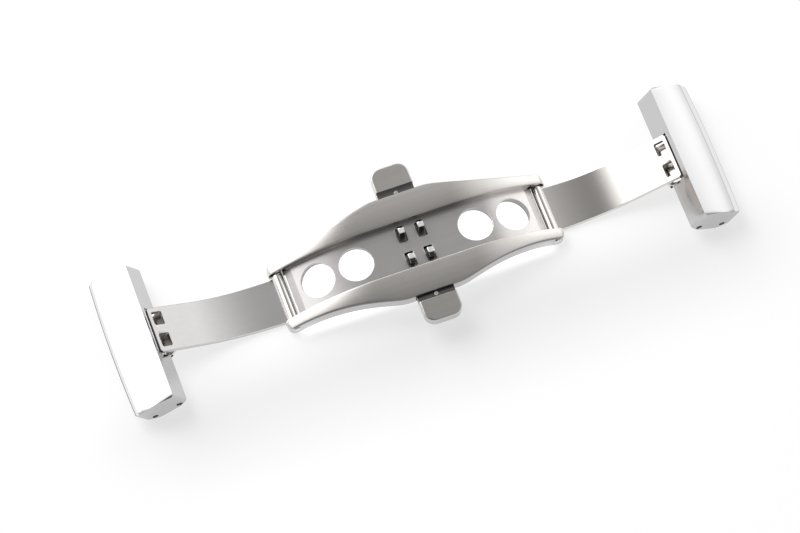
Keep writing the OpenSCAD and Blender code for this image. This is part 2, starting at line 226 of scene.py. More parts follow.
print("studio: grey ceiling", CEILING, "panels", LEFT_PANEL, RIGHT_PANEL)

# %% [markdown]
# One soft lamp at the back left casts the shadow. Steel doesn't mirror it, because the world already has
# the panel that stands there.

# %% Key lamp
KEY_WATTS, KEY_SIZE = 1.4, 0.25
KEY_FROM = np.array([-0.14, 0.18, 0.42])
lamp = bpy.data.objects.new("key_lamp", bpy.data.lights.new("key_lamp", "AREA"))
scene.collection.objects.link(lamp)
lamp.data.size = KEY_SIZE
lamp.data.energy = KEY_WATTS
axis = KEY_FROM / np.linalg.norm(KEY_FROM)
level = np.cross([0, 0, 1], axis)
level /= np.linalg.norm(level)
place(lamp, level, np.cross(axis, level), axis, KEY_FROM)
lamp.visible_glossy = False
print("key lamp of", KEY_WATTS, "W at", KEY_FROM)

# %% [markdown]
# ## The table
# The clasp stands on a white table. Its shadow only tints the paper to the lower right. Seen by the
# camera or in a mirror, the table glows a little by itself and keeps the shadow in the rest. For all other
# light it is plain white paper. Under the frame it glows more, because the holes in the picture show pure
# white. In front of the clasp it glows less, where the picture has a wide faint shade. Seen from below it
# is clear.

# %% Floor
FLOOR_SIZE = 1.5
FLOOR_DROP = 0.02 * MM
PAPER, DIM_PAPER = 0.8, 0.22
GLOW, UNDER_GLOW, TABLE_SHADE = 0.73, 0.4, 0.12
UNDER_X, UNDER_Y = (0.017, 0.019), (0.0045, 0.0065)
SHADE_NEAR, SHADE_FAR, SHADE_ENDS = (0.004, 0.013), (0.011, 0.026), (0.032, 0.056)

floor_mesh = bpy.data.meshes.new("table")
corners = [(-1, -1), (1, -1), (1, 1), (-1, 1)]
corners = [(a * FLOOR_SIZE, b * FLOOR_SIZE, -FLOOR_DROP) for a, b in corners]
floor_mesh.from_pydata(corners, [], [(0, 1, 2, 3)])
table = bpy.data.objects.new("table", floor_mesh)
scene.collection.objects.link(table)
paper = bpy.data.materials.new("table_paper")
graph = Graph(paper)
path = graph.node("ShaderNodeLightPath", out="Is Camera Ray")
seen = path.sum("MAXIMUM", path, path.output("Is Glossy Ray"))
seen = seen.sum("MAXIMUM", seen, path.output("Is Transmission Ray"))
plain = graph.node("ShaderNodeBsdfDiffuse", None, {"Color": (PAPER, PAPER, PAPER, 1)})
dim = graph.node("ShaderNodeBsdfDiffuse", None, {"Color": (DIM_PAPER, DIM_PAPER, DIM_PAPER, 1)})
where = graph.node("ShaderNodeTexCoord", out="Object")
x = graph.node("ShaderNodeSeparateXYZ", None, {0: where})
y = x.output(1)
along, across, front = x.sum("ABSOLUTE", x), x.sum("ABSOLUTE", y), 0 - y
under = (1 - along.above(*UNDER_X)) * (1 - across.above(*UNDER_Y))
shade = front.above(*SHADE_NEAR) * (1 - front.above(*SHADE_FAR)) * (1 - along.above(*SHADE_ENDS))
strength = under * UNDER_GLOW + GLOW - shade * TABLE_SHADE
glow = graph.node("ShaderNodeEmission", None, {"Color": WHITE, "Strength": strength})
shown = graph.node("ShaderNodeAddShader", None, {0: dim, 1: glow})
both = graph.node("ShaderNodeMixShader", None, {0: seen, 1: plain, 2: shown})
below = graph.node("ShaderNodeNewGeometry", out="Backfacing")
clear = graph.node("ShaderNodeBsdfTransparent")
graph.show("ShaderNodeOutputMaterial", graph.node("ShaderNodeMixShader", None, {0: below, 1: both, 2: clear}))
floor_mesh.materials.append(paper)
print("table", 2 * FLOOR_SIZE, "m wide")

# %% [markdown]
# ## Steel finishes
# The frame, the arms and the pads are satin: fine lines run along the clasp, so the lines are noise
# stretched fifty times or more along X. The lines tilt the surface a hair and change its roughness.
# Colour drifts slowly, as steel does after years of hands. The end pieces are polished. Each finish is
# one row of the table below.

# %% Steel
# Towards the frame's right end the colour is painted lighter: a painted highlight.
HIGHLIGHT_FROM, HIGHLIGHT_TO = 10.0, 12.6
# Towards both ends the colour is painted lighter: painted light.
FADE_FROM, FADE_TO = 6.5, 10.5
HAIR_SCALE, STREAK_SCALE, CLOUD_SCALE, SPECK_SCALE = (90, 9000, 9000), (40, 2200, 2200), 110.0, 900.0
DRIFT, SMUDGE = 0.03, 0.05
BUMP_LEAST, BUMP_DEPTH, LINE_DEPTH, HAIR_SHARE = 0.25, 0.0008 * MM, 0.032 * MM, 0.6
WARM, FLOOR_TINT, NEUTRAL = (1.0, 0.96, 0.925), (1.0, 0.965, 0.95), (1, 1, 1)


def steel(name, colour, rough, lines, tint=WARM, wing=0.0, fade=0.0):
    """A metal whose roughness is rough plus stretched noise times lines plus slow noise times SMUDGE, and
    whose colour is colour times one plus DRIFT times slow noise. Wing is added to that factor towards the
    frame's right end, as a painted highlight. Fade is added towards both ends, where a wall is low and
    catches more light, as painted light."""
    material = bpy.data.materials.new(name)
    graph = Graph(material)
    place = graph.node("ShaderNodeTexCoord", out="Object")

    def noise(scale, detail, stretch=None):
        at = place
        if stretch:
            at = graph.node("ShaderNodeMapping", None, {"Vector": place, "Scale": stretch})
        return graph.node("ShaderNodeTexNoise", None, {"Vector": at, "Scale": scale, "Detail": detail})

    hair, streak = noise(1.0, 2.0, HAIR_SCALE), noise(1.0, 1.0, STREAK_SCALE)
    cloud, speck = noise(CLOUD_SCALE, 3.0), noise(SPECK_SCALE, 2.0)
    shade = 1 + (cloud - 0.5) * (2 * DRIFT) + (streak - 0.5) * lines
    if wing or fade:
        far = graph.node("ShaderNodeSeparateXYZ", None, {0: place})
        shade = shade + far.above(HIGHLIGHT_FROM * MM, HIGHLIGHT_TO * MM) * wing
        shade = shade + far.sum("ABSOLUTE", far).above(FADE_FROM * MM, FADE_TO * MM) * fade
    mirrored = {0: tuple(colour * t for t in tint), "Scale": shade}
    tinted = graph.node("ShaderNodeVectorMath", {"operation": "SCALE"}, mirrored)
    roughness = rough + (hair - 0.5) * lines + (cloud - 0.5) * SMUDGE + (speck - 0.5) * (SMUDGE * 0.5)
    relief = {"Strength": min(1.0, BUMP_LEAST + lines), "Distance": BUMP_DEPTH + LINE_DEPTH * lines}
    height = hair * HAIR_SHARE + streak * (1 - HAIR_SHARE)
    bump = graph.node("ShaderNodeBump", None, {**relief, "Height": height})
    look = {"Base Color": tinted, "Metallic": 1.0, "Roughness": roughness, "Normal": bump}
    graph.show("ShaderNodeOutputMaterial", graph.node("ShaderNodeBsdfPrincipled", None, look))
    return material


RECIPES = {
    # name: (colour, rough, lines, tint, wing, fade)
    "satin_steel": (0.60, 0.30, 0.10),
    "polished_steel": (0.58, 0.10, 0.01, (0.995, 0.99, 0.99)),
    "bright_steel": (0.76, 0.16, 0.02, NEUTRAL),
    "spring_steel": (0.55, 0.28, 0.02, NEUTRAL),
    # A dark steel: a painted shade for the buttons' necks and the slides' runners.
    "raw_steel": (0.22, 0.34, 0.02),
    # A brighter steel: a painted highlight where the end pieces' crowns start to turn.
    "painted_highlight_steel": (0.80, 0.10, 0.01, NEUTRAL),
    # A dark steel: a painted shade for walls, sheet rims, the end pieces' broken edges and the tray's inside.
    "shaded_wall_steel": (0.25, 0.26, 0.02),
    # The rails' fade is painted light towards their two ends.
    "rail_steel": (0.60, 0.30, 0.10, WARM, 0.0, 0.22),
    # A dark steel: a painted shade on the rails' inner walls, painted lighter towards the ends and the right
    # end.
    "inner_steel": (0.25, 0.26, 0.02, WARM, 0.6, 2.0),
    "arm_steel": (0.76, 0.15, 0.05),
    # Darker and rougher than the arms' steel: a painted shade on the left leaf; the tray's underside takes it
    # for its roughness.
    "dull_steel": (0.62, 0.34, 0.06, (1.0, 0.975, 0.965)),
    # The floor's wing is a painted highlight towards its right end.
    "floor_steel": (0.55, 0.38, 0.10, FLOOR_TINT, 0.55),
    # Darker than the floor: a painted shade on the step, painted lighter towards the right end: a painted
    # highlight.
    "step_steel": (0.42, 0.38, 0.10, FLOOR_TINT, 0.85),
    # Brighter than bright_steel: partly a painted highlight, on the hooks' heads and the front rail's broken
    # edge; the floor's bevel takes it too.
    "hook_steel": (0.86, 0.5, 0.02, NEUTRAL),
    # A darker steel: a painted shade on the front pad.
    "shade_steel": (0.50, 0.34, 0.10),
    # Near black: a painted shade, for the left end piece's side line and the hooks' sides.
    "line_steel": (0.06, 0.30, 0.02),
    "edge_steel": (0.84, 0.14, 0.02, NEUTRAL),
}
FINISH = {name: steel(name, *recipe) for name, recipe in RECIPES.items()}
SLOT = {part["node"]: part["material_slot"] for part in frame["record"]["subparts"]}
print("finishes:", ", ".join(FINISH))

# %% [markdown]
# ## Surfaces from arrays
# Every shape below is an array of points worked out by numpy. A sweep is a closed outline carried along a
# path: each row of the array is the outline at one place, so the whole skin is one grid. Its two ends are
# closed by one face each. A shape is a pair, its points in millimetres and its faces.

# %% Sweeps, tubes and slabs
def sweep(rows):
    """The closed skin through rows of points, shape (rows, columns, 3): neighbours in a row and in the
    next row make a face, the last column joins the first, and the first and last rows become end faces."""
    count, around = rows.shape[:2]
    i, j = np.meshgrid(np.arange(count - 1), np.arange(around), indexing="ij")
    k = (j + 1) % around
    faces = np.stack([i * around + j, i * around + k, (i + 1) * around + k, (i + 1) * around + j], -1)
    first, last = np.arange(around), (count - 1) * around + np.arange(around)
    return rows.reshape(-1, 3), faces.reshape(-1, 4).tolist() + [first[::-1].tolist(), last.tolist()]


def tube(profile, bore, centre, steps=48):
    """A body turned about a line along Y through centre (x, z): each profile point (y, radius) becomes a
    circle. The outline goes out along the profile and comes back at the bore's radius, so every row closes
    on itself and no end face is needed."""
    angle = np.linspace(0, 2 * np.pi, steps, endpoint=False)
    profile = list(profile) + [(profile[-1][0], bore), (profile[0][0], bore)]
    y, radius = np.array(profile, float).T
    rows = np.empty((steps, len(y), 3))
    rows[..., 0] = centre[0] + radius * np.cos(angle)[:, None]
    rows[..., 1] = y
    rows[..., 2] = centre[1] + radius * np.sin(angle)[:, None]
    points, faces = sweep(np.concatenate([rows, rows[:1]]))
    return points, faces[:-2]


def slab(low, high):
    """A box between two corners, as a sweep of its lower and upper outline."""
    (x0, y0, z0), (x1, y1, z1) = low, high
    ring = np.array([(x0, y0), (x1, y0), (x1, y1), (x0, y1)], float)
    rows = np.stack([np.column_stack([ring, np.full(4, z)]) for z in (z0, z1)])
    return sweep(rows)


def together(shapes):
    """Several shapes as one: the faces of each count on from the points before it."""
    points, faces, start = [], [], 0
    for p, f in shapes:
        points.append(p)
        faces += [[start + v for v in face] for face in f]
        start += len(p)
    return np.concatenate(points), faces


def flipped(shape, x=False, y=False):
    """The mirror image of a shape, in X or Y or both."""
    points, faces = shape
    return points * np.array([-1 if x else 1, -1 if y else 1, 1]), faces


def swung(shape, centre, degrees):
    """A shape turned clockwise about a line along Y through centre (x, z), seen from the front: the
    offset (u, w) becomes (u cos a + w sin a, w cos a - u sin a)."""
    points, faces = shape
    a = math.radians(degrees)
    u, w = points[:, 0] - centre[0], points[:, 2] - centre[1]
    out = points.copy()
    out[:, 0] = centre[0] + u * math.cos(a) + w * math.sin(a)
    out[:, 2] = centre[1] + w * math.cos(a) - u * math.sin(a)
    return out, faces


print("a slab has", len(slab((0, 0, 0), (1, 1, 1))[1]), "faces")

# %% [markdown]
# ## From a shape to a piece
# A piece is a shape in its place, with outward faces. Its broken edges come from the Bevel modifier, which
# gives each cut the bright edge finish, as handling does on the real one. The last modifier, Weighted
# Normal, lets the large faces keep their own direction, so they don't look puffy.

# %% Make a piece
MERGE = 0.0005


def dressed(mesh, name, nodes, finish, edge, sharp, sheet=0.0):
    """The mesh as an object that rides where its first node rides and stands for its nodes. A sheet is
    given its thickness by Solidify, downwards from the face it is drawn on."""
    mesh.materials.append(FINISH[finish or SLOT[nodes[0]]])
    mesh.materials.append(FINISH["edge_steel"])
    mesh.shade_smooth()
    mesh.set_sharp_from_angle(angle=math.radians(sharp))
    piece = bpy.data.objects.new(name, mesh)
    scene.collection.objects.link(piece)
    if sheet:
        wall = piece.modifiers.new("thickness", "SOLIDIFY")
        wall.thickness, wall.offset, wall.use_even_offset = sheet * MM, -1, True
    if edge:
        bevel = piece.modifiers.new("broken edges", "BEVEL")
        bevel.width, bevel.segments, bevel.material = edge * MM, 2, 1
        bevel.limit_method, bevel.angle_limit = "ANGLE", math.radians(sharp)
        bevel.use_clamp_overlap = not sheet
    true = piece.modifiers.new("true faces", "WEIGHTED_NORMAL")
    true.keep_sharp, true.weight = True, 100
    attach(piece, frame["nodes"][nodes[0]]["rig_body"])
    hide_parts(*nodes)
    return piece


def mended(mesh, change):
    """Merge the mesh's points that lie together, and then make one more change to it."""
    work = bmesh.new()
    work.from_mesh(mesh)
    bmesh.ops.remove_doubles(work, verts=work.verts, dist=MERGE * MM)
    change(work)
    work.to_mesh(mesh)
    work.free()


def make_piece(name, shape, nodes, finish=None, edge=0.05, sharp=30, sheet=0.0):
    """The shape as a dressed object, with its faces turned outwards, or upwards on a sheet."""
    def face_out(work):
        bmesh.ops.recalc_face_normals(work, faces=work.faces)
        if sheet and sum(face.normal.z for face in work.faces) < 0:
            bmesh.ops.reverse_faces(work, faces=work.faces)

    points, faces = shape
    mesh = bpy.data.meshes.new(name)
    mesh.from_pydata((points * MM).tolist(), [], faces)
    mended(mesh, face_out)
    print(name, len(mesh.polygons), "faces")
    return dressed(mesh, name, nodes, finish, edge, sharp, sheet)


# %% [markdown]
# Weighted Normal lets the largest face win at each point. On a thin sheet that would be the rim, so a
# sheet's thickness and bevel are first made into mesh, where its edges are marked sharp.

# %% Settle a sheet
def settle(piece, angle=20):
    """Replace a sheet by its mesh with thickness and bevel, whose edges above the angle stay sharp."""
    true = piece.modifiers["true faces"]
    true.show_viewport = False
    bpy.context.view_layer.update()
    now = bpy.context.evaluated_depsgraph_get()
    piece.data = bpy.data.meshes.new_from_object(piece.evaluated_get(now), depsgraph=now)
    for name in ("thickness", "broken edges"):
        piece.modifiers.remove(piece.modifiers[name])
    piece.data.set_sharp_from_angle(angle=math.radians(angle))
    true.show_viewport = True
    print(piece.name, "settled with", len(piece.data.polygons), "faces")


# %% [markdown]
# A face can take another finish than its piece. A test on the faces' middles and normals picks them.

# %% Paint some faces with another finish
def paint(piece, finish, test):
    """Faces for which test(middle, normal), both arrays of shape (faces, 3), holds take the finish."""
    mesh = piece.data
    count = len(mesh.polygons)
    middle, normal = np.empty(count * 3), np.empty(count * 3)
    mesh.polygons.foreach_get("center", middle)
    mesh.polygons.foreach_get("normal", normal)
    hit = test(middle.reshape(-1, 3) / MM, normal.reshape(-1, 3))
    slots = np.zeros(count, np.int32)
    mesh.polygons.foreach_get("material_index", slots)
    slots[hit] = len(mesh.materials)
    mesh.materials.append(FINISH[finish])
    mesh.polygons.foreach_set("material_index", slots)
    print(piece.name, "has", int(hit.sum()), "faces in", finish)


# %% [markdown]
# ## The arch
# Seen from the side, the frame is flat in the middle and bends down to its two hinges in two arcs. Each
# surface of it is such an arch: its height in the middle and how far outside the hinge pin it passes give
# the radius. The rail's top goes on round the hinge lug in a small arc, like a bent nose.

# %% Points of an arch
FLAT, HINGE_X, LUG = 6.5, 18.5, 1.15
RAIL_TOP, CHANNEL, FLOOR_OVER_PIN = 5.5, 1.05, 0.27
FLOOR_TOP = RAIL_TOP - CHANNEL
RAIL_ARCH, FLOOR_ARCH = (RAIL_TOP, LUG), (FLOOR_TOP, FLOOR_OVER_PIN)


def arch_radius(rise, outside):
    """(d squared + rise squared - outside squared) / (2 (rise - outside)), where d is the run from the
    flat's end to the pin."""
    d = HINGE_X - FLAT
    return (d * d + rise * rise - outside * outside) / (2 * (rise - outside))


def arch(along, top, outside, nose=0.0):
    """Point (x, z) and lean of an arch at distances along it from the middle. Past the flat the lean
    grows by distance over radius, up to the line through the pin. With a nose radius it then grows by
    distance over that radius, about the pin."""
    radius = arch_radius(top - LUG, outside)
    end = math.atan2(HINGE_X - FLAT, LUG - (top - radius))
    s, side = np.abs(along), np.sign(along)
    lean = np.clip((s - FLAT) / radius, 0, end)
    x = np.minimum(s, FLAT) + radius * np.sin(lean)
    z = top - radius * (1 - np.cos(lean))
    past = np.maximum(s - FLAT - radius * end, 0)
    if nose:
        swing = end + past / nose
        x = np.where(past > 0, HINGE_X + nose * np.sin(swing), x)
        z = np.where(past > 0, LUG + nose * np.cos(swing), z)
        lean = lean + past / nose
    return side * x, z, side * lean


def arch_length(top, outside):
    """Distance along an arch from the middle to the line through the pin."""
    radius = arch_radius(top - LUG, outside)
    return FLAT + radius * math.atan2(HINGE_X - FLAT, LUG - (top - radius))


def along_at(x, top, outside):
    """Distance along an arch at which it is x from the middle."""
    radius = arch_radius(top - LUG, outside)
    return FLAT + radius * math.asin((x - FLAT) / radius)


print("rail arc radius", round(arch_radius(RAIL_TOP - LUG, LUG), 2), "mm")

# %% [markdown]
# ## The outline of the frame
# From above, each quarter of the frame is a round shoulder, a short straight, a long hollow and a round
# corner at the hinge. So the outline is one function of x.

# %% Half-width of the frame
MID_HALF, SHOULDER_X, SHOULDER_R, TAPER = 7.4, 3.25, 7.0, math.radians(14.5)
STRAIGHT, END_ANGLE, END_CORNER = 3.1, math.radians(1.5), 0.8


def half_width(x, inset=0.0):
    """Half the frame's width at x: level, then the shoulder's circle, the straight, the hollow's circle,
    and the corner's circle at the end."""
    x = np.abs(x)
    top = MID_HALF - inset
    x1, y1 = SHOULDER_X + SHOULDER_R * math.sin(TAPER), top - SHOULDER_R * (1 - math.cos(TAPER))
    x2, y2 = x1 + STRAIGHT * math.cos(TAPER), y1 - STRAIGHT * math.sin(TAPER)
    hollow = (HINGE_X - x2) / (math.sin(TAPER) - math.sin(END_ANGLE))
    cx, cy = x2 + hollow * math.sin(TAPER), y2 + hollow * math.cos(TAPER)
    end = cy - hollow * math.cos(END_ANGLE)
    rx, ry = HINGE_X + LUG - END_CORNER, end - END_CORNER
    shoulder = top - SHOULDER_R + np.sqrt(np.maximum(SHOULDER_R**2 - (x - SHOULDER_X) ** 2, 0))
    straight = y1 - (x - x1) * math.tan(TAPER)
    hollow_y = cy - np.sqrt(np.maximum(hollow**2 - (cx - x) ** 2, 0))
    corner = ry + np.sqrt(np.maximum(END_CORNER**2 - (x - rx) ** 2, 0))
    ends = [SHOULDER_X, x1, x2, HINGE_X, rx]
    curves = [np.full_like(x, top), shoulder, straight, hollow_y, np.full_like(x, end)]
    return np.select([x < e for e in ends], curves, corner)


print("half-widths:", half_width(np.array([0.0, HINGE_X])))

# %% [markdown]
# ## The rails
# Each rail is a skin that bends with the arch, with a soft swell that falls away towards its edges, and an
# inner wall down to the channel's floor. A sweep does this well: one outline across the rail, carried along
# the arch and as wide as the plan is there.

# %% Rails
INNER, WALL, SKIN, FLOOR_T, KNUCKLE_ROOM = 3.45, 0.4, 0.45, 0.38, 0.85
FLOOR_END = HINGE_X - KNUCKLE_ROOM
CROWN, NOSE_LIFT, NOSE_TURN = 0.05, 0.02, math.radians(62)
SWELL, FULL_WIDTH, LEAST_SHARE = 0.26, 3.7, 0.3
INNER_BREAK, OUTER_BREAK, TINY = 0.09, 0.12, 0.001


def rail():
    """The back rail. At a place along the arch, a point y across and d deep lies at the arch's point minus
    d times its outward direction. Across it, at t from 0 to 1, the rail falls by CROWN times t squared and
    swells by SWELL times t times (1 - t). Both are less where the rail is narrow."""
    length = arch_length(*RAIL_ARCH)
    wing = along_at(FLOOR_END, *RAIL_ARCH)
    nose = LUG + NOSE_LIFT
    half = np.concatenate([
        np.linspace(0, FLAT, 9)[:-1], np.linspace(FLAT, wing, 30), [wing + 2 * TINY],
        np.linspace(wing, length, 5)[1:], length + np.linspace(0, nose * NOSE_TURN, 12)[1:]])
    along = np.concatenate([-half[:0:-1], half])
    x, z, lean = arch(along, *RAIL_ARCH, nose)
    outer = half_width(np.clip(x, TINY - HINGE_X - LUG, HINGE_X + LUG - TINY))
    walled = np.abs(along) <= wing + TINY
    shallower = (CHANNEL - LUG + FLOOR_OVER_PIN) * (np.abs(along) / length) ** 2
    deep = np.where(walled, CHANNEL + FLOOR_T - shallower, SKIN)
    across = np.linspace(0, 1, 13)
    turn = np.linspace(0, math.pi / 2, 4)
    inner_y = INNER + INNER_BREAK * (1 - np.cos(turn))
    inner_d = INNER_BREAK * (1 - np.sin(turn))
    columns = [(np.full_like(x, INNER), deep)]
    columns += [(np.full_like(x, y), np.full_like(x, d)) for y, d in zip(inner_y, inner_d)]
    lip = outer - OUTER_BREAK
    width = lip - INNER - INNER_BREAK
    share = np.clip(width / FULL_WIDTH, LEAST_SHARE, 1)
    crown, swell = CROWN * share, SWELL * share
    columns += [(INNER + INNER_BREAK + t * width, crown * t**2 - swell * t * (1 - t)) for t in across[1:]]
    columns += [(lip + OUTER_BREAK * np.sin(a), crown + OUTER_BREAK * (1 - np.cos(a))) for a in turn[1:]]
    wall, skin = np.full_like(x, INNER + WALL), np.full_like(x, SKIN)
    columns += [(outer, skin), (wall, skin), (wall, deep + TINY)]
    rows = np.stack([np.stack([x - d * np.sin(lean), y, z - d * np.cos(lean)], -1) for y, d in columns], 1)
    return sweep(rows)


rails = together([rail(), flipped(rail(), y=True)])
print("rails:", len(rails[0]), "points")

# %% [markdown]
# ## A bent sheet with holes
# The channel's floor and the arms are strips of sheet steel, bent in one direction and pierced. In the flat
# such a strip is an outline with holes, which Delaunay triangulation fills with even triangles. Bending it
# is then one function of the distance along. Solidify gives it its thickness.

# %% Pierced sheets
def circle(x, y, radius, steps=56):
    """Points round a circle."""
    a = np.linspace(0, 2 * np.pi, steps, endpoint=False)
    return np.column_stack([x + radius * np.cos(a), y + radius * np.sin(a)])


def window(x, y, wide, tall, corner, steps=4):
    """Points round a rectangle with round corners: a quarter circle at each corner in turn."""
    ring = []
    for i, (sx, sy) in enumerate([(1, 1), (-1, 1), (-1, -1), (1, -1)]):
        a = np.linspace(0, np.pi / 2, steps) + i * np.pi / 2
        cx, cy = x + sx * (wide / 2 - corner), y + sy * (tall / 2 - corner)
        ring.append(np.column_stack([cx + corner * np.cos(a), cy + corner * np.sin(a)]))
    return np.concatenate(ring)


def inside(points, ring):
    """True where a point is inside a ring: a line from it to the right crosses the ring an odd number of
    times."""
    a, b = ring, np.roll(ring, -1, axis=0)
    x, y = points[:, :1], points[:, 1:]
    cross = (a[:, 1] > y) != (b[:, 1] > y)
    slope = np.where(b[:, 1] == a[:, 1], 1e-9, b[:, 1] - a[:, 1])
    return ((x < a[:, 0] + (y - a[:, 1]) * (b[:, 0] - a[:, 0]) / slope) & cross).sum(1) % 2 == 1


def on_sheet(points, outline, holes):
    """True where a point is inside the outline and in no hole."""
    return inside(points, outline) & ~np.any([inside(points, hole) for hole in holes], axis=0)


def pierced(outline, holes, step, folds=()):
    """A flat sheet: the outline and the holes as rings of points, with a grid of points between them that
    keep a third of a step away from every ring. A fold is a row of points that the triangles follow."""
    low, high = outline.min(0), outline.max(0)
    gx, gy = np.meshgrid(np.arange(low[0] + step, high[0], step), np.arange(low[1] + step, high[1], step))
    grid = np.column_stack([gx.ravel(), gy.ravel()])
    rings = [outline] + list(holes)
    edge = np.concatenate(rings + list(folds))
    gap = np.sqrt(((grid[:, None] - edge[None]) ** 2).sum(-1)).min(1)
    flat = np.concatenate([edge, grid[on_sheet(grid, outline, holes) & (gap > step / 3)]])
    edges, start = [], 0
    for ring in rings:
        n = len(ring)
        edges += [(start + i, start + (i + 1) % n) for i in range(n)]
        start += n
    for fold in folds:
        edges += [(start + i, start + i + 1) for i in range(len(fold) - 1)]
        start += len(fold)
    points, _, faces, *_ = delaunay_2d_cdt([Vector(p) for p in flat], edges, [], 0, 1e-7)
    points = np.array([tuple(p) for p in points])
    faces = np.array([tuple(f) for f in faces])
    return points, faces[on_sheet(points[faces].mean(1), outline, holes)].tolist()


# %% [markdown]
# ## The channel's floor
# Four round holes lighten the floor, and four small windows let the hooks through. Its last millimetre at
# each hinge is filed down to a bevelled step. The sheet's rim takes the finish two slots after its face's,
# so the list has one for each rim.

# %% Floor with holes and windows
HOLES = [(8.46, 2.35), (13.88, 2.35)]
HOOK_X, WINDOW, WINDOW_R, SHEET_GRID = 1.354, (1.25, 2.15, 1.825), 0.12, 0.5
STEP_L, STEP_LEAN = 1.0, math.radians(14)


def bent(flat, out):
    """A flat sheet's points bent along the floor's arch, where x is the distance along it, and moved out
    along the arch's own direction."""
    x, z, lean = arch(flat[:, 0], *FLOOR_ARCH)
    return np.column_stack([x + out * np.sin(lean), flat[:, 1], z + out * np.cos(lean)])


def channel_floor():
    """The floor's face. Its step sinks by the way into it times the tangent of its lean."""
    end = along_at(FLOOR_END, *FLOOR_ARCH)
    step = along_at(FLOOR_END - STEP_L, *FLOOR_ARCH)
    half = INNER + 0.02
    side = np.linspace(-half, half, 16)
    last = np.linspace(step, end, 4)
    run = np.concatenate([-last[::-1], np.linspace(-step, step, 70)[1:-1], last])
    outline = np.concatenate([
        np.column_stack([run, np.full_like(run, -half)]),
        np.column_stack([np.full(14, end), side[1:-1]]),
        np.column_stack([run[::-1], np.full_like(run, half)]),
        np.column_stack([np.full(14, -end), side[-2:0:-1]])])
    holes = [circle(s * along_at(x, *FLOOR_ARCH), 0, r) for s in (-1, 1) for x, r in HOLES]
    wide, tall, off = WINDOW
    holes += [window(sx * HOOK_X, sy * off, wide, tall, WINDOW_R) for sx in (-1, 1) for sy in (-1, 1)]
    folds = [np.column_stack([np.full_like(side, s * step), side]) for s in (-1, 1)]
    flat, faces = pierced(outline, holes, SHEET_GRID, folds)
    sunk = np.maximum(np.abs(flat[:, 0]) - step, 0) * math.tan(STEP_LEAN)
    return bent(flat, -sunk), faces


AT_WALL, OFF_WALL, AT_WINDOW, LEANS_IN, UPRIGHT = 0.2, 0.3, 1.5, 0.35, 0.55
BREAK_LEAN = (0.1, 0.9)


def inner_wall(middle, normal):
    """The rails' faces towards the channel."""
    y = middle[:, 1]
    return (np.abs(y) < INNER + AT_WALL) & (-normal[:, 1] * np.sign(y) > LEANS_IN)


def outer_wall(middle, normal):
    """The rails' faces down along their outline."""
    return (np.abs(middle[:, 1]) > INNER + OFF_WALL) & (np.abs(normal[:, 1]) > UPRIGHT)


def front_break(middle, normal):
    """The broken inner edge of the front rail, which takes a painted highlight for the light it mirrors."""
    y, lean = middle[:, 1], normal[:, 1]
    return (y < 0) & (y > -INNER - AT_WALL) & (lean > BREAK_LEAN[0]) & (lean < BREAK_LEAN[1])


def by_windows(middle, normal):
    """The floor's faces beside the hooks' windows, whose rims take a painted highlight."""
    off_x, off_y = np.abs(np.abs(middle[:, :2]) - (HOOK_X, WINDOW[2])).T
    return (off_x < WINDOW[0]) & (off_y < AT_WINDOW)


def on_step(middle, normal):
    """The floor's faces past the fold."""
    return np.abs(middle[:, 0]) > FLOOR_END - STEP_L


rail_piece = make_piece("rails", rails, ["frame_top"], edge=0, sharp=24, finish="rail_steel")
# The inner walls take a dark steel, a painted shade.
paint(rail_piece, "inner_steel", inner_wall)
# The outer walls take a dark steel, a painted shade.
paint(rail_piece, "shaded_wall_steel", outer_wall)
# The front rail's broken inner edge takes a brighter steel, a painted highlight.
paint(rail_piece, "hook_steel", front_break)
floor_piece = make_piece(
    "channel_floor", channel_floor(), ["frame_top"], edge=0.07, sharp=12, sheet=FLOOR_T, finish="floor_steel")
slots = floor_piece.data.materials
slots[1] = FINISH["hook_steel"]
# The sheet's rims take a dark steel, a painted shade in the holes and along its edges.
slots.append(FINISH["shaded_wall_steel"])
# The faces beside the windows keep the floor's steel, so that their rims, two slots on, take the bright edge
# steel: a painted highlight on the windows' walls.
paint(floor_piece, "floor_steel", by_windows)
for finish in ("shaded_wall_steel", "edge_steel"):
    slots.append(FINISH[finish])
# The step takes a darker steel, a painted shade.
paint(floor_piece, "step_steel", on_step)
# The step's rims take the dark steel too, a painted shade.
for finish in ("shaded_wall_steel", "shaded_wall_steel"):
    slots.append(FINISH[finish])
floor_piece.modifiers["thickness"].material_offset_rim = 2
floor_piece.modifiers["broken edges"].angle_limit = math.radians(20)
settle(floor_piece, 12)

# %% [markdown]
# ## The arms
# Each arm is a leaf of sheet steel that lies in the channel when the clasp is shut, so it has the floor's
# own bend. It is drawn shut and then swung open about its hinge. Two windows near its tip take the hooks.
# Under the tip a small block carries the end piece's pin, and a knuckle turns on each pin. The left leaf
# takes a darker, rougher steel than the right one: a painted shade.

# %% Arms
FOLD, ARM_T, ARM_GAP, ARM_HALF, WAIST = 157.0, 0.7, 0.06, 3.25, 0.12
TIP, TIP_R, BLOCK_END, END_WALL, BLOCK_ROOF, ROOT = 0.15, 0.4, 2.6, 0.4, 0.8, 0.2
ARM_WINDOW, ARM_WINDOW_Y, SIDE_GAP, LAP = (1.4, 1.9, 0.16), 1.6, 0.07, 0.02
KNUCKLE, KNUCKLE_BORE, TIP_KNUCKLE, TIP_BORE = 0.73, 0.48, 0.8, 0.43
CAP_PIN = (1.24, 7.0)
HINGE = (HINGE_X, LUG)


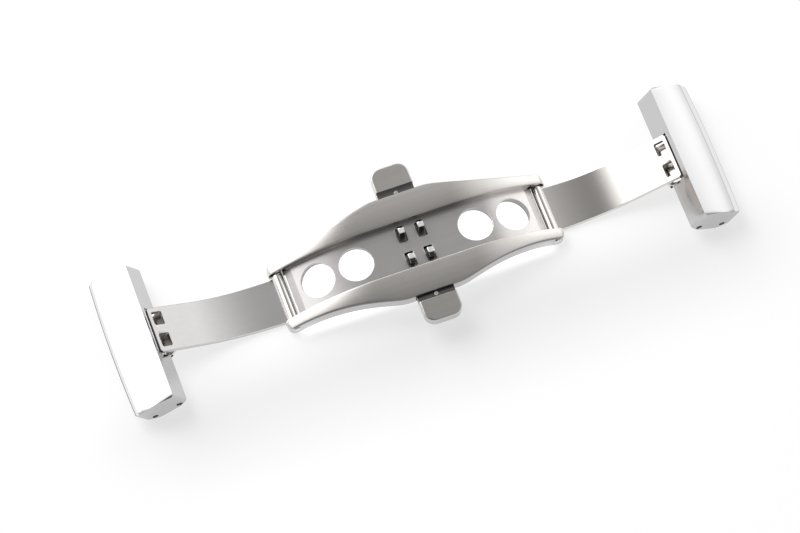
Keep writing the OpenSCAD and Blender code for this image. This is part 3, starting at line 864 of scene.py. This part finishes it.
def arm_leaf():
    """The shut arm's face: the floor's arch moved out by the gap. Its half-width draws in at the waist by
    a half-wave of the sine along its length."""
    length = arch_length(*FLOOR_ARCH)
    run = np.linspace(TIP + TIP_R, length, 60)
    half = ARM_HALF - WAIST * np.sin(np.pi * (run - TIP) / (length - TIP))
    a = np.linspace(0, np.pi / 2, 6)
    tip_x, tip_y = TIP + TIP_R - TIP_R * np.cos(a), ARM_HALF - TIP_R + TIP_R * np.sin(a)
    side = np.linspace(ARM_HALF, -ARM_HALF, 14)[1:-1]
    outline = np.concatenate([
        np.column_stack([tip_x, tip_y]), np.column_stack([run[1:], half[1:]]),
        np.column_stack([np.full(12, length), side]), np.column_stack([run[:0:-1], -half[:0:-1]]),
        np.column_stack([tip_x[::-1], -tip_y[::-1]])])
    holes = [window(HOOK_X, s * ARM_WINDOW_Y, *ARM_WINDOW) for s in (-1, 1)]
    flat, faces = pierced(outline, holes, SHEET_GRID)
    return bent(flat, ARM_GAP), faces


def arm_joints():
    """The knuckle at the frame, and the block with its tunnel and knuckle at the tip."""
    top, face = CAP_PIN[1], FLOOR_TOP + ARM_GAP + ARM_T
    inner = ARM_HALF - LAP
    return together([
        tube([(SIDE_GAP - INNER, KNUCKLE), (INNER - SIDE_GAP, KNUCKLE)], KNUCKLE_BORE, HINGE),
        slab((TIP + LAP, -inner, face - ROOT), (TIP + END_WALL, inner, top)),
        slab((BLOCK_END - END_WALL, -inner, face - ROOT), (BLOCK_END, inner, top)),
        slab((TIP + LAP, -inner, top - BLOCK_ROOF), (BLOCK_END, inner, top)),
        tube([(-ARM_HALF, TIP_KNUCKLE), (ARM_HALF, TIP_KNUCKLE)], TIP_BORE, CAP_PIN)])


leaf, joints = swung(arm_leaf(), HINGE, FOLD), swung(arm_joints(), HINGE, FOLD)
# The left leaf's darker, rougher steel is a painted shade.
for side, mirror, finish in (("right", False, "arm_steel"), ("left", True, "dull_steel")):
    node = ["arm_" + side]
    settle(make_piece("arm_leaf_" + side, flipped(leaf, x=mirror), node, finish, 0.06, 20, ARM_T))
    make_piece("arm_joints_" + side, flipped(joints, x=mirror), node, "arm_steel", 0.04)

# %% [markdown]
# ## The end pieces
# An end piece is a polished bar, milled from solid: crowned on top, bowed on its outer side, with a slot
# for the arm's block and a pocket for the strap's end. Its section changes only at the slot and the pocket,
# so each stretch between them is one sweep. Its corners are rounded over, and its ends are flat sheets,
# drilled for the pin and the strap bar. Where the crown starts to turn, a brighter steel paints a highlight,
# and on the left one a near-black steel paints a shade line at its side. Its broken edges take a dark
# steel, a painted shade.

# %% End pieces
CAP_HALF, CAP_W, BELLY, CAP_RISE, CAP_H, FOOT, LOW_R = 10.0, 6.2, 0.3, 0.45, 3.5, 0.5, 2.45
CROWN_BENDS = [(-2.5, 0.0), (-1.0, 12.0), (-0.2, 25.0), (0.0, 90.0)]
SLOT_U, SLOT_HALF, SLOT_V = 2.62, 3.42, -0.85
POCKET_U, POCKET_HALF, POCKET_V = 3.0, 9.0, -0.95
PIN_HOLE, STRAP_HOLE, PIN_SINK = (1.14, -3.3, 0.42), (4.81, -2.88, 0.4), 0.7
CAP_TILT, CAP_ROUND, FOOT_U, END_GRID = 29.6, 0.45, 1.0, 0.8
CAP_FULL, CAP_LOW = CAP_W + BELLY, -CAP_H - FOOT


def crown(out):
    """The top, from the inner edge to the outer side at out, as arcs that run into each other. The first
    climbs CAP_RISE. CROWN_BENDS gives how far from the outer side each other arc starts and its lean there.
    An arc's radius is its run over the change of the lean's sine, and it drops by that radius times the
    change of the cosine."""
    top = out + CROWN_BENDS[0][0]
    radius = (top**2 + CAP_RISE**2) / (2 * CAP_RISE)
    u = np.linspace(0, top, 9)
    points = list(zip(u, CAP_RISE - radius + np.sqrt(radius**2 - (top - u) ** 2)))
    for (u0, a0), (u1, a1) in zip(CROWN_BENDS, CROWN_BENDS[1:]):
        a0, a1 = math.radians(a0), math.radians(a1)
        radius = (u1 - u0) / (math.sin(a1) - math.sin(a0))
        v0 = points[-1][1]
        for a in np.linspace(a0, a1, 7 if a1 < 1 else 9)[1:]:
            run, drop = math.sin(a) - math.sin(a0), math.cos(a0) - math.cos(a)
            points.append((out + u0 + radius * run, v0 - radius * drop))
    return np.array(points)


def cap_section(y, pocket=False, slot=False):
    """The section at y as points (u outward, v up). The plan's circle gives the outer side's place, where
    the crown ends, and the low corner's arc starts where its cosine reaches it. At the ends both sides draw
    in by a quarter circle: its radius minus the root of radius squared minus the distance squared."""
    barrel = (CAP_HALF**2 + BELLY**2) / (2 * BELLY)
    out = CAP_FULL - barrel + math.sqrt(barrel**2 - y * y)
    top = crown(out)
    a = np.linspace(math.acos(min(1.0, (out - CAP_FULL + LOW_R) / LOW_R)), np.pi / 2, 10)
    low = np.column_stack([CAP_FULL - LOW_R + LOW_R * np.cos(a), CAP_LOW + LOW_R - LOW_R * np.sin(a)])
    roof = np.column_stack([np.linspace(out, POCKET_U, 11)[1:], np.full(10, POCKET_V)])
    foot = [(POCKET_U, CAP_LOW), (SLOT_U, CAP_LOW), (FOOT_U, CAP_LOW), (0, -CAP_H)]
    if slot:
        foot = [(POCKET_U, CAP_LOW), (SLOT_U, CAP_LOW), (SLOT_U, SLOT_V), (0, SLOT_V)]
    section = np.concatenate([top, [(out, POCKET_V)], roof if pocket else low, foot])
    near_end = max(abs(y) - CAP_HALF + CAP_ROUND, 0)
    inset = CAP_ROUND - math.sqrt(max(CAP_ROUND**2 - near_end**2, 0))
    section[:, 0] = inset + section[:, 0] * (out - 2 * inset) / out
    return section


def cap_stretch(places, **cut):
    """A stretch of the bar, open at both ends."""
    rows = np.stack([np.insert(cap_section(y, **cut), 1, y, axis=1) for y in places])
    points, faces = sweep(rows)
    return points, faces[:-2]


def upright(shape, y):
    """A flat sheet stood up across the clasp at y: its second coordinate becomes the height."""
    flat, faces = shape
    return np.column_stack([flat[:, 0], np.full(len(flat), y), flat[:, 1]]), faces


def end_piece():
    """The five stretches, the four upright sheets at the ends and beside the pocket, the steps beside the
    slot, and the drilled holes. A sheet beside the pocket is what the low corner has and the roof hasn't."""
    cheek = CAP_HALF - CAP_ROUND + CAP_ROUND * np.sin(np.linspace(0, np.pi / 2, 7))
    cheek = np.concatenate([[POCKET_HALF], cheek])
    wing = np.linspace(SLOT_HALF, POCKET_HALF, 12)
    shapes = [cap_stretch(np.linspace(-SLOT_HALF, SLOT_HALF, 13), pocket=True, slot=True)]
    pin, bar = circle(*PIN_HOLE, 28), circle(*STRAP_HOLE, 28)
    end = cap_section(CAP_HALF)
    wall, roof = cap_section(POCKET_HALF), cap_section(POCKET_HALF, pocket=True)
    top = len(crown(CAP_FULL))
    side = np.concatenate([wall[top:top + 12], roof[top + 10:top - 1:-1]])
    step = [(0, SLOT_V), (SLOT_U, SLOT_V), (SLOT_U, CAP_LOW), (FOOT_U, CAP_LOW), (0, -CAP_H)]
    for s in (-1, 1):
        shapes += [
            cap_stretch(s * cheek), cap_stretch(s * wing, pocket=True),
            upright(pierced(end, [pin, bar], END_GRID), s * CAP_HALF),
            upright(pierced(side, [bar], END_GRID), s * POCKET_HALF),
            upright((np.array(step), [range(5)]), s * SLOT_HALF)]
        for ring, depth, keep in ((bar, CAP_HALF - POCKET_HALF, -2), (pin, PIN_SINK, -1)):
            rows = np.stack([np.insert(ring, 1, s * (CAP_HALF - d), axis=1) for d in (depth, 0)])
            points, faces = sweep(rows)
            shapes.append((points, faces[:keep]))
    points, faces = together(shapes)
    return points + np.array([CAP_PIN[0] - PIN_HOLE[0], 0, CAP_PIN[1] - PIN_HOLE[1]]), faces


def leans(normal, sign, low, high):
    """True where a face looks along the section and leans outwards by an angle between low and high."""
    lean = np.degrees(np.arctan2(sign * normal[:, 0], normal[:, 2])) - CAP_TILT
    return (np.abs(normal[:, 1]) < 0.5) & (lean > low) & (lean < high)


cap = swung(swung(end_piece(), CAP_PIN, CAP_TILT - FOLD), HINGE, FOLD)
# Each end piece has a painted highlight where its crown starts to turn; the left one also has a painted shade
# line at its side.
for side, sign, painted_highlight, dark in (("right", 1, (10, 22), None), ("left", -1, (10, 50), (28, 88))):
    shape = flipped(cap, x=sign < 0)
    piece = make_piece("end_piece_" + side, shape, ["end_cap_" + side], edge=0.07, sharp=22)
    # The end pieces' broken edges take a dark steel, a painted shade line.
    piece.data.materials[1] = FINISH["shaded_wall_steel"]
    for finish, span in (("painted_highlight_steel", painted_highlight), ("line_steel", dark)):
        if span:
            paint(piece, finish, lambda middle, normal: leans(normal, sign, *span))

# %% [markdown]
# ## Buttons and hooks
# A button is stamped: a low neck behind the frame's edge and a raised pad with a rolled rim. The neck takes
# a dark steel, a painted shade beside the brushed pad, and the front pad a darker steel than the back one, a
# painted shade too. Two hooks stand on each slide: their heads take a brighter steel, partly a painted
# highlight, and their sides a near-black steel, a painted shade.

# %% Buttons
PAD_IN, PAD_OUT, PAD_HALF, PAD_CORNER = 8.3, 11.6, 2.625, 1.5
PAD_LOW, PAD_TOP, NECK_TOP, RIM, PAD_BREAK, BACK_DRAW = 3.9, 5.42, 4.75, 0.22, 0.06, 0.6
SLIDE_Z, SLIDE_T, SLIDE_IN, SLIDE_HALF = 3.59, 0.44, 0.95, 2.2
STOP_OUT, STOP_T, STOP_HALF, STOP_TOP = 6.73, 0.6, 3.6, 4.95
HOOK_FACE, HOOK_DEEP, HOOK_LIP, HOOK_RAMP, HOOK_HALF = 2.45, 0.9, 0.35, 0.15, 0.4
LIP_Z, HOOK_TOP = FLOOR_TOP + ARM_GAP + ARM_T + 0.07, FLOOR_TOP + 1.4
NECK_IN, NECK_OUT, SLIDE_OUT = STOP_OUT + 0.01, PAD_IN + 0.1, PAD_IN - 0.05


def pad_ring(inset):
    """The pad's outline pulled in by the inset: straight at the neck, round at the two outer corners. Every
    ring has the same number of points, and each goes round the same way."""
    a = np.linspace(0, np.pi / 2, 12)
    r = PAD_CORNER - inset
    x, y = PAD_HALF - PAD_CORNER + r * np.cos(a), PAD_OUT - PAD_CORNER + r * np.sin(a)
    back = PAD_IN + inset * BACK_DRAW
    return np.concatenate([
        [(PAD_HALF - inset, back)], np.column_stack([x, y]),
        np.column_stack([-x[::-1], y[::-1]]), [(-PAD_HALF + inset, back)]])


def pad():
    """Rings stacked up: the wall, then the rim's quarter turn, inset by one minus cosine and raised by
    sine."""
    turn = np.linspace(0, np.pi / 2, 5)
    rows = [(PAD_BREAK, PAD_LOW), (0.0, PAD_LOW + PAD_BREAK)]
    rows += [(RIM * (1 - math.cos(a)), PAD_TOP - RIM + RIM * math.sin(a)) for a in turn]
    return sweep(np.stack([np.insert(pad_ring(i), 2, z, axis=1) for i, z in rows]))


def hooks():
    """Two prisms of the hook's outline: an upright face, a lip that overhangs it, a ramp up to the flat
    head. The outline lies in (y, z) and runs along X."""
    back = HOOK_FACE - HOOK_DEEP
    outline = np.array([
        (back, SLIDE_Z), (HOOK_FACE, SLIDE_Z), (HOOK_FACE, LIP_Z), (HOOK_FACE + HOOK_LIP, LIP_Z),
        (HOOK_FACE - HOOK_RAMP, HOOK_TOP), (back, HOOK_TOP)])
    shapes = []
    for s in (-1, 1):
        places = (s * HOOK_X - HOOK_HALF, s * HOOK_X + HOOK_HALF)
        rows = np.stack([np.insert(outline, 0, x, axis=1) for x in places])
        shapes.append(sweep(rows))
    return together(shapes)


def pad_side(middle, normal):
    """The pad's walls and the steep part of its rim."""
    return np.abs(normal[:, 2]) < 0.75


def hook_side(middle, normal):
    """All of a hook but its head."""
    return normal[:, 2] < 0.9


neck = slab((-PAD_HALF, NECK_IN, SLIDE_Z + SLIDE_T), (PAD_HALF, NECK_OUT, NECK_TOP))
runners = together([
    slab((-SLIDE_HALF, SLIDE_IN, SLIDE_Z), (SLIDE_HALF, SLIDE_OUT, SLIDE_Z + SLIDE_T)),
    slab((-STOP_HALF, STOP_OUT - STOP_T, SLIDE_Z), (STOP_HALF, STOP_OUT, STOP_TOP))])
# The front pad's darker steel is a painted shade.
for side, mirror, finish in (("back", False, None), ("front", True, "shade_steel")):
    button, slide = ["button_" + side], ["slide_" + side]
    top = make_piece("pad_" + side, flipped(pad(), y=mirror), button, finish, 0.03, 35)
    paint(top, "polished_steel", pad_side)
    # The neck's dark steel is a painted shade.
    make_piece("neck_" + side, flipped(neck, y=mirror), button, "raw_steel", 0.04)
    pair = make_piece("hooks_" + side, flipped(hooks(), y=mirror), slide, "hook_steel")
    # The hooks' sides take a near-black steel, a painted shade.
    paint(pair, "line_steel", hook_side)
    # The runners' dark steel is a painted shade under the windows.
    make_piece("runner_" + side, flipped(runners, y=mirror), slide, "raw_steel", 0.03)

# %% [markdown]
# ## Broken edges
# Each edge of a real clasp is broken by a hair of bevel that catches the light. A copy of each solid is
# merged into one skin, its flat faces are joined, and a bevel with the bright edge finish breaks its sharp
# edges.

# %% Copies with broken edges
COPLANAR = math.radians(0.05)


def join_flat(work):
    """Join neighbour faces that lie in one plane."""
    bmesh.ops.dissolve_limit(work, angle_limit=COPLANAR, verts=work.verts, edges=work.edges)


def rounded_copy(node, width, angle=28):
    """A merged copy of a solid, with every edge sharper than the angle cut back by the width."""
    mesh = frame["nodes"][node].data.copy()
    mesh.name = node + "_dressed"
    mended(mesh, join_flat)
    mesh.materials.clear()
    return dressed(mesh, mesh.name, [node], None, width, angle)


def tray_inside(middle, normal):
    """The upright faces between the hinge lugs."""
    return (np.abs(middle[:, 1]) < TRAY_IN) & (np.abs(normal[:, 2]) < 0.5)


def tray_below(middle, normal):
    """The faces that look down."""
    return normal[:, 2] < -0.5


TRAY_IN = 3.2
EDGES = {
    "base_tray": 0.06, "frame_screws": 0.03,
    "arm_pin_left": 0.05, "arm_pin_right": 0.05, "cap_pin_left": 0.05, "cap_pin_right": 0.05,
    "button_pin_back": 0.05, "button_pin_front": 0.05,
}
for node, width in EDGES.items():
    piece = rounded_copy(node, width)
    if node == "base_tray":
        # The tray's inside faces take a dark steel, a painted shade.
        paint(piece, "shaded_wall_steel", tray_inside)
        paint(piece, "dull_steel", tray_below)

# %% [markdown]
# ## Springs
# Two coil springs between the channel's wall and the slide's stop push a button back. They close up as it
# is pressed. Each is a merged copy of its solid, with a mesh of its own.

# %% Spring copies
SPRINGS = [node for node in frame["nodes"] if node.startswith("spring_")]
for node in SPRINGS:
    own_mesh(rounded_copy(node, 0))

# %% [markdown]
# ## The solids under the skins
# Each solid under a skin that was built here takes its slot's finish too. Its mesh stays as it is.

# %% Finish the solids
for node, thing in frame["nodes"].items():
    if node not in EDGES and node not in SPRINGS:
        thing.data.materials.clear()
        thing.data.materials.append(FINISH[SLOT[node]])
print("solids under copies:", len(EDGES) + len(SPRINGS), "of", len(frame["nodes"]))
